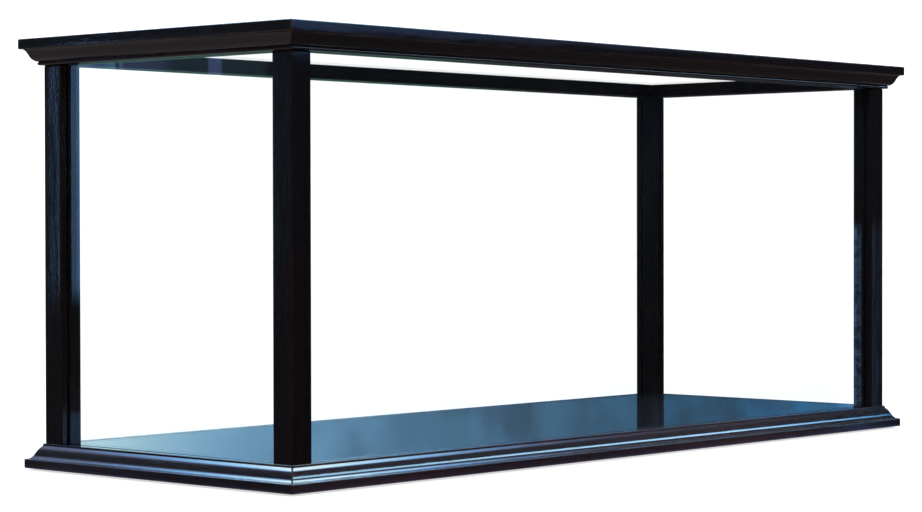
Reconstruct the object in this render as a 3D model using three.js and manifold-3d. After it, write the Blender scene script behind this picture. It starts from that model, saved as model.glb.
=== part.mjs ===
// Table-top display case for a model boat: a lipped base with an ogee moulding, four square
// posts, four panes standing in grooves, and a lift-off lid with a crown moulding and a glass top.
// Millimetres, +Z up, +X along the long side, -Y towards the front.
// The origin is the centre of the rectangle that the case stands on.
//
// Plan sizes are taken from the setting-out lines, a rectangle of CASE_LENGTH by CASE_DEPTH.
// Base pieces are worked out from the underside of the base, lid pieces from that of the lid.
import * as THREE from "three";
import { mergeVertices } from "three/addons/utils/BufferGeometryUtils.js";
import Module from "manifold-3d";

const wasm = await Module();
wasm.setup();

// ---------------------------------------------------------------- driving dimensions
const CASE_LENGTH = 845; // between the setting-out lines, a little inside the posts' outer faces
const CASE_DEPTH = 302;
const BASE_HEIGHT = 21; // base moulding, bottom edge to ledge
const LIP_THICK = 4; // the moulding's lip over the core board
const RAIL = 20.5; // the mouldings reach this far inwards from the setting-out lines
const MITRE_GAP = 0.06; // each side of every mitre
const CORE_EDGE = 3.5; // the core board stops this far inside the setting-out lines
const CORE_GAP = 0.15; // between the core board and the moulding
const FLOOR_PLAY = 0.5; // total play of the floor panel between the lips

const POST_HEIGHT = 325; // ledge to the underside of the lid
const POST_SIZE = 22; // square section, centred on the rail and proud of it on all faces
const POST_ROUND = 1.5; // radius of the long edges
const POST_TOP_ROUND = 1.8; // radius round the top end
const POST_FOOT_CHAMFER = 0.3;

const LID_HEIGHT = 22.5; // crown moulding, underside to top
const LID_SEAT = 13.5; // underside of the lid to the seat of the top glass
const SEAT_WIDTH = 8.25; // width of the rebate that holds the top glass
const TOP_GLASS_GAP = 0.75; // between the top glass and the side of the rebate
const BEAD_GAP = 0.25; // between the glazing bead and the side of the rebate
const BEAD_DROP = 0.25; // top of the bead, below the top of the crown

const GLASS_THICK = 3;
const GROOVE_WIDTH = 3.6; // glass plus running room
const PANE_SET = 7; // setting-out lines to the middle of a pane
const GLASS_BITE = 5; // how far a pane goes beyond the inner edge of the rail at each end
const POST_GROOVE_DEPTH = 6; // from the same inner edge
const BASE_GROOVE_DEPTH = 3;
const LID_GROOVE_DEPTH = 5;
const GLASS_ABOVE_POST = 4; // a pane's top edge, above the post tops

// Locating pins in the post tops
const PIN_RADIUS = 3;
const PIN_SUNK = 11;
const PIN_PROUD = 9;
const PIN_CHAMFER = 1.2;
const PIN_POST_CLEARANCE = 0.2; // on the radius
const PIN_LID_CLEARANCE = 0.25; // on the radius
const PIN_END_ROOM = 1; // above the pin, in the lid

// Post screws, head down
const SCREW_RADIUS = 2.2;
const SCREW_HEAD_RADIUS = 4.2;
const SCREW_HEAD_EDGE = 0.4; // straight edge of the head
const SCREW_HEAD_HEIGHT = 2.8;
const SCREW_LENGTH = 50; // nominal
const SCREW_TAPER = 7; // the point starts this far below the nominal end
const SCREW_TIP_RADIUS = 0.35; // radius of the blunt tip
const SCREW_TIP_CUT = 0.6; // and how far it stops below the nominal end
const SCREW_SUNK = 0.35; // head above the underside of the base
const CROSS = { halfLength: 2.4, halfWidth: 0.5, depth: 1.5 }; // recess in the head
const SCREW_PASSAGE_RADIUS = SCREW_RADIUS + 0.3; // hole through the base
const SCREW_POST_HOLE_RADIUS = SCREW_RADIUS + 0.2;
const SCREW_END_ROOM = 1; // above the nominal end, in the post
// Countersink in the core board: a straight mouth, then a cone up to the passage hole
const COUNTERSINK = { radius: SCREW_HEAD_RADIUS + 0.45, mouth: 0.75, top: 3.55 };

// Felt pads under the base; insets run from the setting-out lines to a pad's centre
const PAD_THICK = 1.5;
const PAD_RADIUS = 11;
const PAD_INSET_X = 42;
const PAD_INSET_Y = 36;

// Mitre keys: thin level plates let half into each of the two strips that meet at a corner.
// centre: outwards from the setting-out lines in X and Y; along: the mitre; z0: underside.
const BASE_KEY = { centre: 4, along: 14, across: 10, z0: 3, thick: 2.5 };
const LID_KEY = { centre: 1, along: 20, across: 14, z0: 17, thick: 2.5 };
const KEY_CLEARANCE = 0.2; // all round a key in its slot

const OVERCUT = 5; // cutters run this far past the faces they open

// ---------------------------------------------------------------- levels and half sizes
const Z_BASE = PAD_THICK; // underside of the base
const CORE_THICK = BASE_HEIGHT - LIP_THICK;
const Z_LEDGE = Z_BASE + BASE_HEIGHT; // ledge, top of the floor panel and foot of the posts
const Z_LID = Z_LEDGE + POST_HEIGHT; // top of the posts and underside of the lid
const HALF_X = CASE_LENGTH / 2;
const HALF_Y = CASE_DEPTH / 2;
const POST_CENTRE = RAIL / 2; // setting-out lines to the middle of a post
const POST_X = HALF_X - POST_CENTRE;
const POST_Y = HALF_Y - POST_CENTRE;

// The four sides: name, turn about Z, half length, half distance across to the opposite side.
const SIDES = [
  ["front", 0, HALF_X, HALF_Y],
  ["right", Math.PI / 2, HALF_Y, HALF_X],
  ["back", Math.PI, HALF_X, HALF_Y],
  ["left", -Math.PI / 2, HALF_Y, HALF_X],
];
// The four corners: name, sign of X, sign of Y.
const CORNERS = [
  ["front_left", -1, -1],
  ["front_right", 1, -1],
  ["back_left", -1, 1],
  ["back_right", 1, 1],
];

// ---------------------------------------------------------------- materials
const standard = (settings) => new THREE.MeshStandardMaterial(settings);
const lacquer = standard({ name: "dark_lacquered_wood", color: 0x1a1013, roughness: 0.18 });
const floorLacquer = standard({ name: "floor_lacquer", color: 0x14171b, roughness: 0.05 });
const plywood = standard({ name: "plywood", color: 0x8d6b46, roughness: 0.7 });
const glass = standard({
  name: "clear_glass", color: 0xe6f2ee, roughness: 0.02, transparent: true, opacity: 0.18,
});
const steel = standard({ name: "zinc_steel", color: 0xb9b9b4, roughness: 0.35, metalness: 1 });
const felt = standard({ name: "felt", color: 0x1c1c1c, roughness: 0.95 });
const beech = standard({ name: "beech", color: 0xb98f5e, roughness: 0.6 });

// ---------------------------------------------------------------- solid helpers
const place = (x, y, z, turn = 0) => new THREE.Matrix4().makeRotationZ(turn).setPosition(x, y, z);

function toSolid(geometry, matrix = new THREE.Matrix4()) {
  const bare = new THREE.BufferGeometry()
    .setAttribute("position", geometry.getAttribute("position").clone())
    .setIndex(geometry.index)
    .applyMatrix4(matrix);
  const merged = mergeVertices(bare, 1e-4);
  return new wasm.Manifold(new wasm.Mesh({
    numProp: 3,
    vertProperties: new Float32Array(merged.attributes.position.array),
    triVerts: new Uint32Array(merged.index.array),
  }));
}

function toGeometry(solid) {
  const mesh = solid.getMesh();
  const positions = new Float32Array(mesh.vertProperties);
  const geometry = new THREE.BufferGeometry()
    .setAttribute("position", new THREE.BufferAttribute(positions, 3))
    .setIndex(new THREE.BufferAttribute(new Uint32Array(mesh.triVerts), 1));
  geometry.computeVertexNormals();
  return geometry;
}

// A box given by its lowest and highest corners.
function boxBetween([x0, y0, z0], [x1, y1, z1]) {
  const box = new THREE.BoxGeometry(x1 - x0, y1 - y0, z1 - z0);
  return toSolid(box, place((x0 + x1) / 2, (y0 + y1) / 2, (z0 + z1) / 2));
}

const toVectors = (points) => points.map(([x, y]) => new THREE.Vector2(x, y));

// A solid of revolution about +Z; the outline is a list of [radius, z] from axis to axis.
function turned(outline, segments = 32) {
  return new THREE.LatheGeometry(toVectors(outline), segments).rotateX(Math.PI / 2);
}

// A round cutter between two levels.
function rod(radius, z0, z1, x = 0, y = 0) {
  return toSolid(turned([[0, z0], [radius, z0], [radius, z1], [0, z1]]), place(x, y, 0));
}

// Part of a circle as points, angles in degrees.
function arc(centreX, centreY, radius, from, to, steps) {
  return Array.from({ length: steps + 1 }, (_, i) => {
    const angle = ((from + ((to - from) * i) / steps) * Math.PI) / 180;
    return [centreX + radius * Math.cos(angle), centreY + radius * Math.sin(angle)];
  });
}

// A smooth line through a list of points.
function smooth(points, count) {
  return new THREE.SplineCurve(toVectors(points)).getPoints(count).map(({ x, y }) => [x, y]);
}

// ---------------------------------------------------------------- sections
// Each section is a list of [offset outwards from the setting-out line, height].

// Base moulding, from the ledge outwards and down: small square step, ogee, rounded nose,
// square bottom member, and the lip over the core board.
const baseOgee = smooth([
  [2.55, 18.6], [3.5, 17.8], [4.6, 16.85], [5.6, 15.75], [6.4, 14.7], [7.05, 13.6],
  [8.0, 11.7], [9.05, 9.85], [10.2, 8.6], [11.4, 8.05], [12.7, 7.9],
], 22);
const baseSection = [
  [-RAIL, BASE_HEIGHT], [2.0, BASE_HEIGHT], [2.3, BASE_HEIGHT - 0.12], [2.5, BASE_HEIGHT - 0.45],
  ...baseOgee,
  ...arc(12.7, 6.9, 1, 67.5, 0, 3),
  [13.7, 0.9], [13.4, 0.25], [12.8, 0],
  [-CORE_EDGE + CORE_GAP, 0], [-CORE_EDGE + CORE_GAP, CORE_THICK], [-RAIL, CORE_THICK],
];

// Crown moulding, from the soffit outwards and up: small bead under a quirk, ogee, square
// overhang, and the rebate for the top glass.
const SEAT_SIDE = -RAIL + SEAT_WIDTH; // offset of the upright side of the rebate
const crownOgee = smooth([
  [4.95, 3.15], [6.4, 3.7], [7.7, 4.65], [8.8, 5.9], [9.55, 7.2],
  [10.25, 8.75], [10.9, 10.2], [11.6, 11.5], [12.4, 12.6], [13.3, 13.4],
], 20);
const crownSection = [
  [-RAIL, 0], [3.7, 0],
  [4.3, 0.3], [4.7, 0.8], [4.85, 1.4], [4.7, 2.0], [4.3, 2.5], [4.05, 2.9],
  ...crownOgee,
  [13.3, 13.75], [16.0, 13.75], [16.4, 14.05], [16.5, 14.5],
  [16.5, LID_HEIGHT - 0.8], [16.3, LID_HEIGHT - 0.25], [15.7, LID_HEIGHT],
  [SEAT_SIDE, LID_HEIGHT], [SEAT_SIDE, LID_SEAT], [-RAIL, LID_SEAT],
];

// Glazing bead: a small strip over the edge of the top glass, its inner top edge eased.
const BEAD_FOOT = LID_SEAT + GLASS_THICK;
const BEAD_TOP = LID_HEIGHT - BEAD_DROP;
const beadSection = [
  [SEAT_SIDE - BEAD_GAP, BEAD_FOOT], [SEAT_SIDE - BEAD_GAP, BEAD_TOP],
  [-RAIL + 1.2, BEAD_TOP], [-RAIL + 0.35, BEAD_TOP - 0.35], [-RAIL, BEAD_TOP - 1.2],
  [-RAIL, BEAD_FOOT],
];

// ---------------------------------------------------------------- strips
// A mitred strip in the front position, along X. The extrusion's far end goes to -X, which
// keeps the faces pointing outwards.
function mitredStrip(section, half, across) {
  const shape = new THREE.Shape(toVectors(section));
  const strip = new THREE.ExtrudeGeometry(shape, { depth: 1, bevelEnabled: false, steps: 1 });
  const points = strip.getAttribute("position");
  for (let i = 0; i < points.count; i++) {
    const offset = points.getX(i);
    const height = points.getY(i);
    const end = points.getZ(i) > 0.5 ? -1 : 1;
    points.setXYZ(i, end * (half + offset - MITRE_GAP), -(across + offset), height);
  }
  return toSolid(strip);
}

function keyBox(key, grow = 0) {
  return new THREE.BoxGeometry(key.along + 2 * grow, key.across + 2 * grow, key.thick + 2 * grow);
}

const keyLevel = (key) => key.z0 + key.thick / 2;

// Cuts a front-position strip: the pane groove between two levels, and at each end a round
// hole on the post's axis and a key slot.
function cutStrip(strip, half, across, { groove, hole, key }) {
  const grooveHalf = half - RAIL + POST_GROOVE_DEPTH;
  const grooveY = -(across - PANE_SET);
  let cut = strip.subtract(boxBetween(
    [-grooveHalf, grooveY - GROOVE_WIDTH / 2, groove[0]],
    [grooveHalf, grooveY + GROOVE_WIDTH / 2, groove[1]],
  ));
  for (const end of [-1, 1]) {
    const holeX = end * (half - POST_CENTRE);
    const holeY = -(across - POST_CENTRE);
    const keyX = end * (half + key.centre);
    const keyY = -(across + key.centre);
    const keyPlace = place(keyX, keyY, keyLevel(key), (-end * Math.PI) / 4);
    cut = cut
      .subtract(rod(hole.radius, hole.z0, hole.z1, holeX, holeY))
      .subtract(toSolid(keyBox(key, KEY_CLEARANCE), keyPlace));
  }
  return cut;
}

const baseCuts = {
  groove: [BASE_HEIGHT - BASE_GROOVE_DEPTH, BASE_HEIGHT + OVERCUT],
  hole: { radius: SCREW_PASSAGE_RADIUS, z0: CORE_THICK - OVERCUT, z1: BASE_HEIGHT + OVERCUT },
  key: BASE_KEY,
};
const lidCuts = {
  groove: [-OVERCUT, LID_GROOVE_DEPTH],
  hole: { radius: PIN_RADIUS + PIN_LID_CLEARANCE, z0: -OVERCUT, z1: PIN_PROUD + PIN_END_ROOM },
  key: LID_KEY,
};

// ---------------------------------------------------------------- other pieces
// Core board with countersunk holes for the post screws.
function coreBoard() {
  const x = HALF_X - CORE_EDGE;
  const y = HALF_Y - CORE_EDGE;
  const countersink = turned([
    [0, -OVERCUT], [COUNTERSINK.radius, -OVERCUT], [COUNTERSINK.radius, COUNTERSINK.mouth],
    [SCREW_PASSAGE_RADIUS, COUNTERSINK.top], [0, COUNTERSINK.top],
  ]);
  let core = boxBetween([-x, -y, 0], [x, y, CORE_THICK]);
  for (const [, signX, signY] of CORNERS) {
    const postX = signX * POST_X;
    const postY = signY * POST_Y;
    core = core
      .subtract(rod(SCREW_PASSAGE_RADIUS, -OVERCUT, CORE_THICK + OVERCUT, postX, postY))
      .subtract(toSolid(countersink, place(postX, postY, 0)));
  }
  return toGeometry(core);
}

// Square post with rounded long edges, a chamfered foot and a softly rounded top.
function postBlank() {
  const half = POST_SIZE / 2;
  const centre = half - POST_ROUND;
  const outline = [[1, 1, 0], [-1, 1, 90], [-1, -1, 180], [1, -1, 270]].flatMap(
    ([signX, signY, from]) => arc(signX * centre, signY * centre, POST_ROUND, from, from + 90, 4),
  );
  // Rings of the same outline up the post: [height, inset].
  const topStart = POST_HEIGHT - POST_TOP_ROUND;
  const rings = [
    [0, POST_FOOT_CHAMFER], [POST_FOOT_CHAMFER, 0], [topStart, 0],
    ...arc(0, 0, POST_TOP_ROUND, 22.5, 90, 3).map(
      ([out, up]) => [topStart + up, POST_TOP_ROUND - out],
    ),
  ];
  const steps = rings.length - 1;
  const shape = new THREE.Shape(toVectors(outline));
  const post = new THREE.ExtrudeGeometry(shape, { depth: steps, bevelEnabled: false, steps });
  const points = post.getAttribute("position");
  for (let i = 0; i < points.count; i++) {
    const [height, inset] = rings[Math.round(points.getZ(i))];
    const scale = (half - inset) / half;
    points.setXYZ(i, points.getX(i) * scale, points.getY(i) * scale, height);
  }
  return toSolid(post);
}

// A post with its two pane grooves, the screw hole below and the pin hole above.
function postGeometry(signX, signY) {
  // Each groove runs from its bottom inside the post out through the face that looks along
  // the case, and lies towards the outside of the case.
  const grooveSpan = (sign) => {
    const ends = [-sign * (POST_CENTRE - POST_GROOVE_DEPTH), -sign * (POST_SIZE / 2 + OVERCUT)];
    return [Math.min(...ends), Math.max(...ends)];
  };
  const grooveSides = (sign) => {
    const middle = sign * (POST_CENTRE - PANE_SET);
    return [middle - GROOVE_WIDTH / 2, middle + GROOVE_WIDTH / 2];
  };
  const groove = ([x0, x1], [y0, y1]) =>
    boxBetween([x0, y0, -OVERCUT], [x1, y1, POST_HEIGHT + OVERCUT]);
  const screwTop = SCREW_LENGTH - BASE_HEIGHT + SCREW_END_ROOM;
  const pinRadius = PIN_RADIUS + PIN_POST_CLEARANCE;
  return toGeometry(postBlank()
    .subtract(groove(grooveSpan(signX), grooveSides(signY)))
    .subtract(groove(grooveSides(signX), grooveSpan(signY)))
    .subtract(rod(SCREW_POST_HOLE_RADIUS, -OVERCUT, screwTop))
    .subtract(rod(pinRadius, POST_HEIGHT - PIN_SUNK, POST_HEIGHT + OVERCUT)));
}

// Countersunk screw, head down, with a cross recess.
function screwGeometry() {
  const { halfLength, halfWidth, depth } = CROSS;
  const tip = SCREW_LENGTH - SCREW_TIP_CUT;
  const blank = toSolid(turned([
    [0, 0], [SCREW_HEAD_RADIUS, 0], [SCREW_HEAD_RADIUS, SCREW_HEAD_EDGE],
    [SCREW_RADIUS, SCREW_HEAD_HEIGHT], [SCREW_RADIUS, SCREW_LENGTH - SCREW_TAPER],
    [SCREW_TIP_RADIUS, tip], [0, tip],
  ], 28));
  return toGeometry(blank
    .subtract(boxBetween([-halfLength, -halfWidth, -OVERCUT], [halfLength, halfWidth, depth]))
    .subtract(boxBetween([-halfWidth, -halfLength, -OVERCUT], [halfWidth, halfLength, depth])));
}

// Locating pin with a chamfered nose.
function pinGeometry() {
  const length = PIN_SUNK + PIN_PROUD;
  return turned([
    [0, 0], [PIN_RADIUS, 0], [PIN_RADIUS, length - PIN_CHAMFER],
    [PIN_RADIUS - PIN_CHAMFER, length], [0, length],
  ]);
}

function padGeometry() {
  return turned([[0, 0], [PAD_RADIUS, 0], [PAD_RADIUS, PAD_THICK], [0, PAD_THICK]], 40);
}

// ---------------------------------------------------------------- assembly
function add(group, name, geometry, material, [x, y, z], turn = 0) {
  const mesh = new THREE.Mesh(geometry, material);
  mesh.name = name;
  mesh.position.set(x, y, z);
  mesh.rotation.z = turn;
  group.add(mesh);
}

function addKey(group, name, key, signX, signY, level) {
  const x = signX * (HALF_X + key.centre);
  const y = signY * (HALF_Y + key.centre);
  const turn = (signX * signY * Math.PI) / 4;
  add(group, name, keyBox(key), beech, [x, y, level + keyLevel(key)], turn);
}

// Panes, each standing in the base groove and slid down between two posts.
function addPanes(group) {
  const bottom = Z_LEDGE - BASE_GROOVE_DEPTH;
  const height = Z_LID + GLASS_ABOVE_POST - bottom;
  const shortening = 2 * (RAIL - GLASS_BITE);
  const longPane = new THREE.BoxGeometry(CASE_LENGTH - shortening, GLASS_THICK, height);
  const shortPane = new THREE.BoxGeometry(GLASS_THICK, CASE_DEPTH - shortening, height);
  const paneX = HALF_X - PANE_SET;
  const paneY = HALF_Y - PANE_SET;
  const z = bottom + height / 2;
  add(group, "glass_front", longPane, glass, [0, -paneY, z]);
  add(group, "glass_back", longPane, glass, [0, paneY, z]);
  add(group, "glass_left", shortPane, glass, [-paneX, 0, z]);
  add(group, "glass_right", shortPane, glass, [paneX, 0, z]);
}

// Everything that stays when the lid is lifted off.
function buildBase() {
  const group = new THREE.Group();
  add(group, "base_core_board", coreBoard(), plywood, [0, 0, Z_BASE]);

  const floorInset = 2 * RAIL + FLOOR_PLAY;
  const floor = new THREE.BoxGeometry(CASE_LENGTH - floorInset, CASE_DEPTH - floorInset, LIP_THICK);
  add(group, "display_floor_panel", floor, floorLacquer, [0, 0, Z_LEDGE - LIP_THICK / 2]);

  for (const [side, turn, half, across] of SIDES) {
    const strip = cutStrip(mitredStrip(baseSection, half, across), half, across, baseCuts);
    add(group, "base_moulding_" + side, toGeometry(strip), lacquer, [0, 0, Z_BASE], turn);
  }
  for (const [corner, signX, signY] of CORNERS) {
    const at = [signX * POST_X, signY * POST_Y, Z_LEDGE];
    add(group, "post_" + corner, postGeometry(signX, signY), lacquer, at);
  }
  addPanes(group);

  const screw = screwGeometry();
  const pin = pinGeometry();
  const pad = padGeometry();
  for (const [corner, signX, signY] of CORNERS) {
    const x = signX * POST_X;
    const y = signY * POST_Y;
    const padAt = [signX * (HALF_X - PAD_INSET_X), signY * (HALF_Y - PAD_INSET_Y), 0];
    add(group, "post_screw_" + corner, screw, steel, [x, y, Z_BASE + SCREW_SUNK]);
    add(group, "locating_pin_" + corner, pin, steel, [x, y, Z_LID - PIN_SUNK]);
    add(group, "felt_pad_" + corner, pad, felt, padAt);
    addKey(group, "base_mitre_key_" + corner, BASE_KEY, signX, signY, Z_BASE);
  }
  return group;
}

// The lid, with its group's origin at its underside.
function buildLid() {
  const group = new THREE.Group();
  group.position.z = Z_LID;
  for (const [side, turn, half, across] of SIDES) {
    const crown = cutStrip(mitredStrip(crownSection, half, across), half, across, lidCuts);
    const bead = mitredStrip(beadSection, half, across);
    add(group, "lid_crown_" + side, toGeometry(crown), lacquer, [0, 0, 0], turn);
    add(group, "lid_bead_" + side, toGeometry(bead), lacquer, [0, 0, 0], turn);
  }
  const inset = 2 * (RAIL - SEAT_WIDTH + TOP_GLASS_GAP);
  const top = new THREE.BoxGeometry(CASE_LENGTH - inset, CASE_DEPTH - inset, GLASS_THICK);
  add(group, "lid_glass_top", top, glass, [0, 0, LID_SEAT + GLASS_THICK / 2]);
  for (const [corner, signX, signY] of CORNERS) {
    addKey(group, "lid_mitre_key_" + corner, LID_KEY, signX, signY, 0);
  }
  return group;
}

const displayCase = new THREE.Group();
displayCase.name = "display_case";
displayCase.add(buildBase(), buildLid());

export default displayCase;
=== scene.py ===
# A glass display case with a lift-off lid: lacquered mouldings and posts, panes, felt and
# fittings, built round the CAD frame. The front faces -Y, right is +X and Z is up.
# Sizes are in millimetres; meshes are turned into metres where they are made.
import bpy
import bmesh
import math
import numpy as np
from mathutils import Vector, Matrix


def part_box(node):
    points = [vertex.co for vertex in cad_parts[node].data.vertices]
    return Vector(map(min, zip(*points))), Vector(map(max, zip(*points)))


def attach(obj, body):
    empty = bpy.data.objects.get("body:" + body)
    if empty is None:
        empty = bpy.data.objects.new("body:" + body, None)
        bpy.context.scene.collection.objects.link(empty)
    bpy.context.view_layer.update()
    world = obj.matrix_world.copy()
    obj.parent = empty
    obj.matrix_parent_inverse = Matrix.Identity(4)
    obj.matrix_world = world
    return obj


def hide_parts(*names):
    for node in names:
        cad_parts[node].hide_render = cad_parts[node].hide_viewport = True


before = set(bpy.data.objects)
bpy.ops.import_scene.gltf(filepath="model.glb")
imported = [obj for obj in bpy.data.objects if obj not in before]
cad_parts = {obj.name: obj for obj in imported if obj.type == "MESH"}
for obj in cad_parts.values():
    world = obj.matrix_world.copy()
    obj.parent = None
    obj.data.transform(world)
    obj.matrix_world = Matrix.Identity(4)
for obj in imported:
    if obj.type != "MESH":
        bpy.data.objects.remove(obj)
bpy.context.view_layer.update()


# ---------------------------------------------------------------- sizes
def box_mm(node):
    """Low and high corners of a CAD piece."""
    low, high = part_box(node)
    return np.array(low) * 1000.0, np.array(high) * 1000.0


def height_of(node):
    low, high = box_mm(node)
    return high[2] - low[2]


post_low, post_high = box_mm("post_front_left")
pane_low, pane_high = box_mm("glass_right")
POST = post_high[0] - post_low[0]
RAIL = 20.5                    # the mouldings reach this far in from their setting-out lines
PROUD = (POST - RAIL) / 2      # the posts stand this far proud of those lines
HALF_X = -post_low[0] - PROUD  # half lengths between the setting-out lines
HALF_Y = -post_low[1] - PROUD
Z_LEDGE, Z_LID = post_low[2], post_high[2]
Z_BASE = box_mm("base_moulding_front")[0][2]
BASE_HEIGHT = height_of("base_moulding_front")
LID_HEIGHT = height_of("lid_crown_front")
FLOOR_THICKNESS = height_of("display_floor_panel")
LID_SEAT = box_mm("lid_glass_top")[0][2] - Z_LID          # the top pane's seat, above the posts
PANE_LINE = HALF_X - (pane_low[0] + pane_high[0]) / 2     # setting-out line to mid pane
CORE_EDGE = -box_mm("base_core_board")[0][0]

GROOVE = 3.6         # width of the grooves that hold the panes
GROOVE_REACH = 6.0   # how far the grooves go into the post ends, beyond the rail width
GROOVE_EASE = 0.25   # chamfer at the mouth of a groove
MITRE_GAP = 0.05
FOOT = 13.7          # how far the base stands out beyond the setting-out lines

CORNERS = {"front_left": (-1, -1), "front_right": (1, -1),
           "back_left": (-1, 1), "back_right": (1, 1)}
# turn about Z from the front, half length of the side, distance of its line from the centre
SIDES = {"front": (0.0, HALF_X, HALF_Y), "right": (math.pi / 2, HALF_Y, HALF_X),
         "back": (math.pi, HALF_X, HALF_Y), "left": (-math.pi / 2, HALF_Y, HALF_X)}


# ---------------------------------------------------------------- outlines
def catmull(points, count):
    """A uniform Catmull-Rom line through the points, in count steps."""
    points = [np.array(p, float) for p in points]
    last = len(points) - 1
    out = []
    for k in range(count + 1):
        place = k / count * last
        i = min(int(place), last - 1)
        w = place - i
        before, start = points[max(i - 1, 0)], points[i]
        end, after = points[i + 1], points[min(i + 2, last)]
        v0, v1 = (end - before) * 0.5, (after - start) * 0.5
        out.append(tuple((2 * start - 2 * end + v0 + v1) * w ** 3
                         + (-3 * start + 3 * end - 2 * v0 - v1) * w ** 2 + v0 * w + start))
    return out


def leaning(stops, offset, step):
    """A profile walked down from its top edge; stops are (height, lean from upright in degrees)."""
    z = stops[0][0]
    points = [(offset, z)]
    while z > stops[-1][0] + 1e-6:
        middle = z - step / 2
        for (z0, lean0), (z1, lean1) in zip(stops, stops[1:]):
            if middle >= z1 - 1e-9:
                lean = lean0 + (lean1 - lean0) * (z0 - middle) / (z0 - z1)
                break
        else:
            lean = stops[-1][1]
        offset += math.tan(math.radians(lean)) * step
        z -= step
        points.append((offset, z))
    return points


def eased(corners):
    """Rounds each corner (x, y, radius) of a closed outline; points without a radius stay."""
    steps = 5
    out = []
    for i, corner in enumerate(corners):
        here = np.array(corner[:2], float)
        if len(corner) == 2:
            out.append(tuple(here))
            continue
        to_last = np.array(corners[i - 1][:2], float) - here
        to_next = np.array(corners[(i + 1) % len(corners)][:2], float) - here
        len_last, len_next = np.linalg.norm(to_last), np.linalg.norm(to_next)
        to_last, to_next = to_last / len_last, to_next / len_next
        angle = math.acos(max(-1, min(1, float(to_last @ to_next))))
        trim = min(corner[2] / math.tan(angle / 2), 0.48 * len_last, 0.48 * len_next)
        radius = trim * math.tan(angle / 2)
        bisector = to_last + to_next
        centre = here + bisector / np.linalg.norm(bisector) * radius / math.sin(angle / 2)
        start = here + to_last * trim - centre
        end = here + to_next * trim - centre
        first, last = math.atan2(start[1], start[0]), math.atan2(end[1], end[0])
        sweep = (last - first + math.pi) % (2 * math.pi) - math.pi
        for k in range(steps + 1):
            a = first + sweep * k / steps
            out.append((centre[0] + radius * math.cos(a), centre[1] + radius * math.sin(a)))
    return out


def circle(x, y, z, radii):
    """A ring of points round (x, y), one for each radius."""
    count = len(radii)
    return [(x + r * math.cos(2 * math.pi * k / count), y + r * math.sin(2 * math.pi * k / count), z)
            for k, r in enumerate(radii)]


# ---------------------------------------------------------------- meshes
def rot_z(points, angle):
    c, s = math.cos(angle), math.sin(angle)
    p = np.asarray(points, float)
    return np.column_stack([p[:, 0] * c - p[:, 1] * s, p[:, 0] * s + p[:, 1] * c, p[:, 2]])


def link(name, mesh):
    piece = bpy.data.objects.new(name, mesh)
    bpy.context.scene.collection.objects.link(piece)
    return piece


def loft(name, rings, cap_step=1, turn=0.0):
    """A solid through rings of equal count, turned about Z.

    cap_step is the order, 1 or -1, in which the first cap lists its points."""
    count, last = len(rings[0]), (len(rings) - 1) * len(rings[0])
    points = rot_z([point for ring in rings for point in ring], turn)
    faces = []
    for a in range(0, last, count):
        b = a + count
        for j in range(count):
            k = (j + 1) % count
            faces.append((a + j, a + k, b + k, b + j))
    faces.append(tuple(range(count))[::cap_step])
    faces.append(tuple(range(last, last + count))[::-cap_step])
    mesh = bpy.data.meshes.new(name)
    mesh.from_pydata([tuple(x * 0.001 for x in point) for point in points], [], faces)
    mesh.validate()
    piece = link(name, mesh)
    work = bmesh.new()
    work.from_mesh(mesh)
    bmesh.ops.recalc_face_normals(work, faces=work.faces)
    work.to_mesh(mesh)
    work.free()
    return piece


def turned(name, outline, x, y, z, segments):
    """A solid of revolution with flat ends; outline is [(radius, height)]."""
    return loft(name, [circle(x, y, z + h, [r] * segments) for r, h in outline], cap_step=-1)


def strip(name, section, side, z0, corner_radius, outer_from):
    """A mitred strip along a side; section is a closed outline of (offset outwards, height).

    The outer corner is rounded where the offset is more than outer_from."""
    turn, half, across = SIDES[side]
    arc_steps, pieces = 5, 14
    left = []
    for k in range(arc_steps + 1):
        phi = math.radians(45.0 * (1 - k / arc_steps))  # 45 degrees at the mitre, 0 where straight
        sin, cos = math.sin(phi), math.cos(phi)
        ring = []
        for offset, z in section:
            if offset > outer_from:
                x = -(half + offset - corner_radius) - corner_radius * sin
                y = -(across + offset - corner_radius) - corner_radius * cos
            else:
                x = -(half + offset) + corner_radius * (1 - sin / math.sin(math.radians(45)))
                y = -(across + offset)
            ring.append((x + MITRE_GAP, y, z0 + z))
        left.append(ring)
    right = [[(-x, y, z) for x, y, z in ring] for ring in reversed(left)]
    middle = []
    for k in range(1, pieces):
        w = k / pieces
        middle.append([tuple(np.array(a) * (1 - w) + np.array(b) * w)
                       for a, b in zip(left[-1], right[0])])
    return loft(name, left + middle + right, turn=turn)


def groove_cutter(side, z_bottom, z_mouth):
    """Cutter for a pane's groove along a strip, its mouth eased by a small chamfer."""
    turn, half, across = SIDES[side]
    y, w, over = -(across - PANE_LINE), GROOVE / 2, 0.2
    flare = w + GROOVE_EASE + over
    out = 1 if z_mouth > z_bottom else -1
    ease_z, over_z = z_mouth - out * GROOVE_EASE, z_mouth + out * over
    outline = [(y - w, z_bottom), (y + w, z_bottom), (y + w, ease_z),
               (y + flare, over_z), (y - flare, over_z), (y - w, ease_z)]
    reach = half - (RAIL - GROOVE_REACH)
    return loft("cutter", [[(x, u, v) for u, v in outline] for x in (-reach, reach)], turn=turn)


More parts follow.
